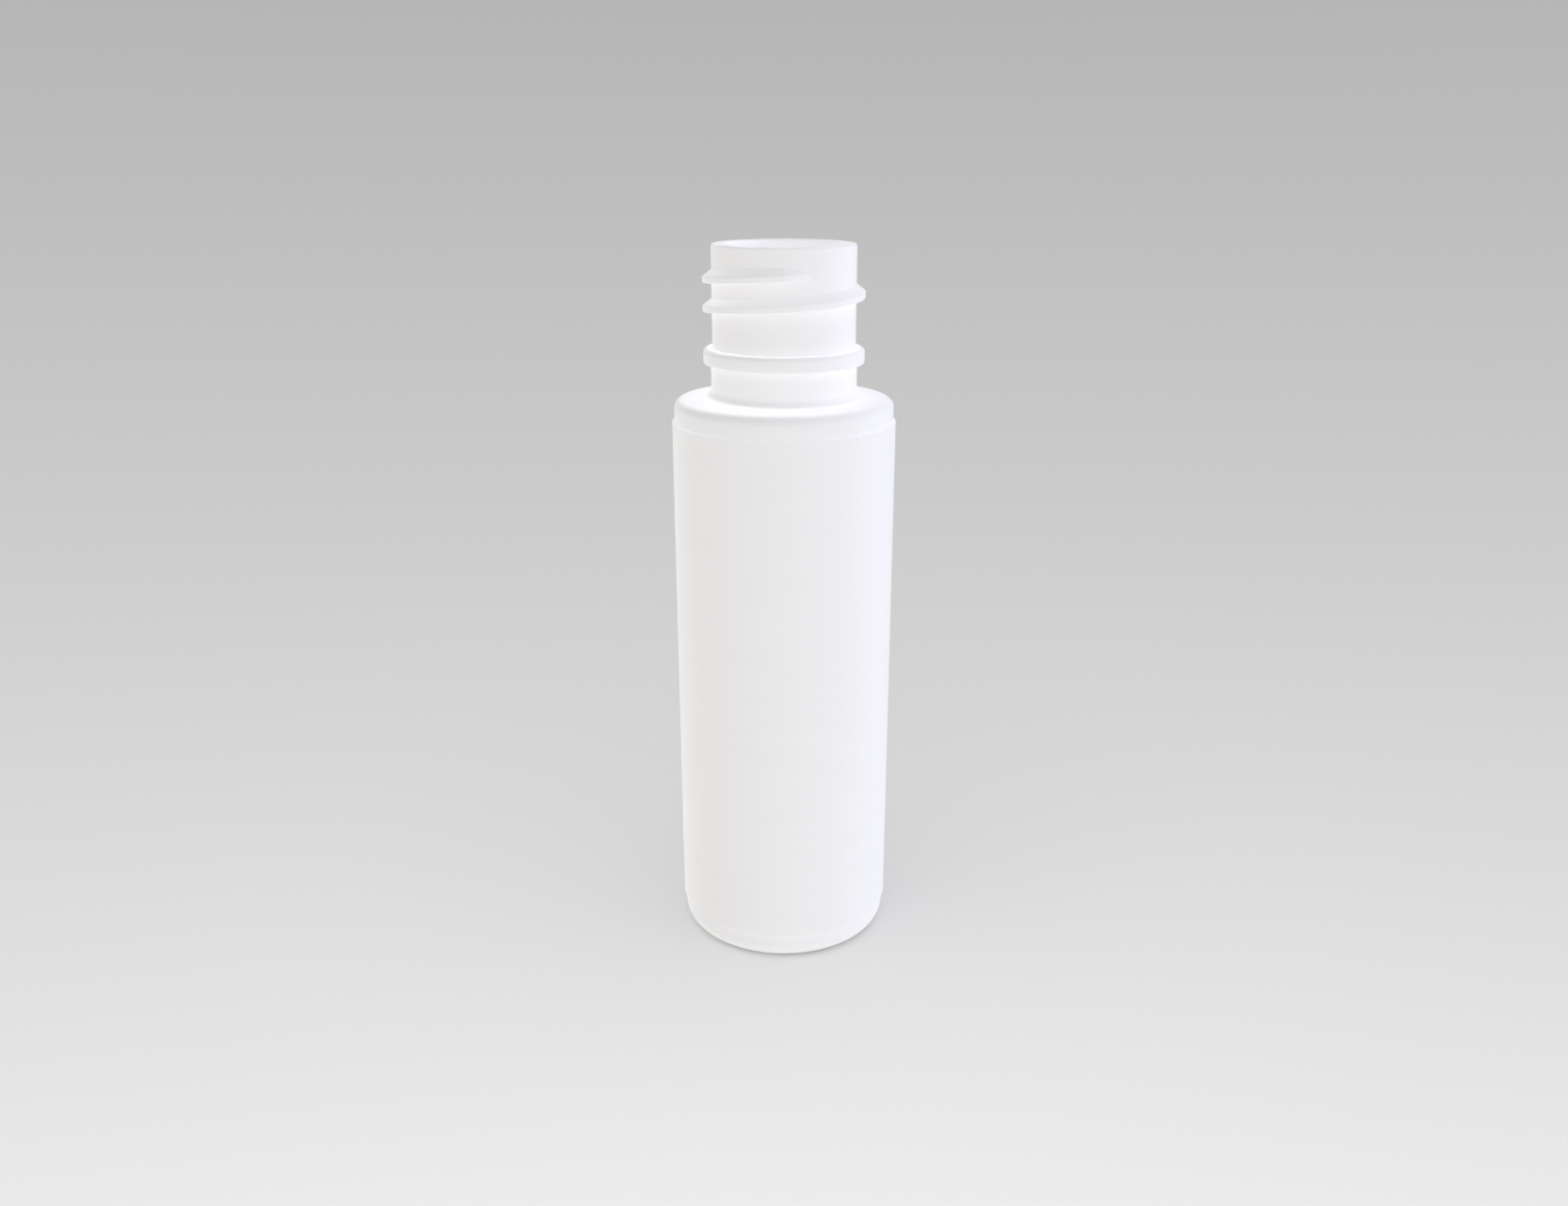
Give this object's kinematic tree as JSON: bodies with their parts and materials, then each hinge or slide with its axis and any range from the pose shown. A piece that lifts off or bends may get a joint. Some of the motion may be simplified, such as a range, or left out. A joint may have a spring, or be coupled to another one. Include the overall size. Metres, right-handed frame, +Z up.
{
  "type": "cosmetic bottle",
  "caption": "Small round plastic cosmetic bottle with a threaded open neck, a flat shoulder, a straight wall carrying a blank wrap label, and a push-up base.",
  "frame": {"origin": "on the bottle's axis, in the plane of its standing ring", "axes": "+Z up along the bottle's axis to the mouth, -Y to the front, where the upper end of the thread is, and +Y to the back, where the label's two ends are"},
  "size_m": [0.0278, 0.0278, 0.0905],
  "materials": {
    "bottle_plastic": "white blow-moulded polyethylene with a soft satin sheen",
    "label_film": "white blank plastic film, smooth and slightly glossy"
  },
  "bodies": {
    "root": {"bottle": "bottle_plastic", "label": "label_film"}
  },
  "joints": []
}
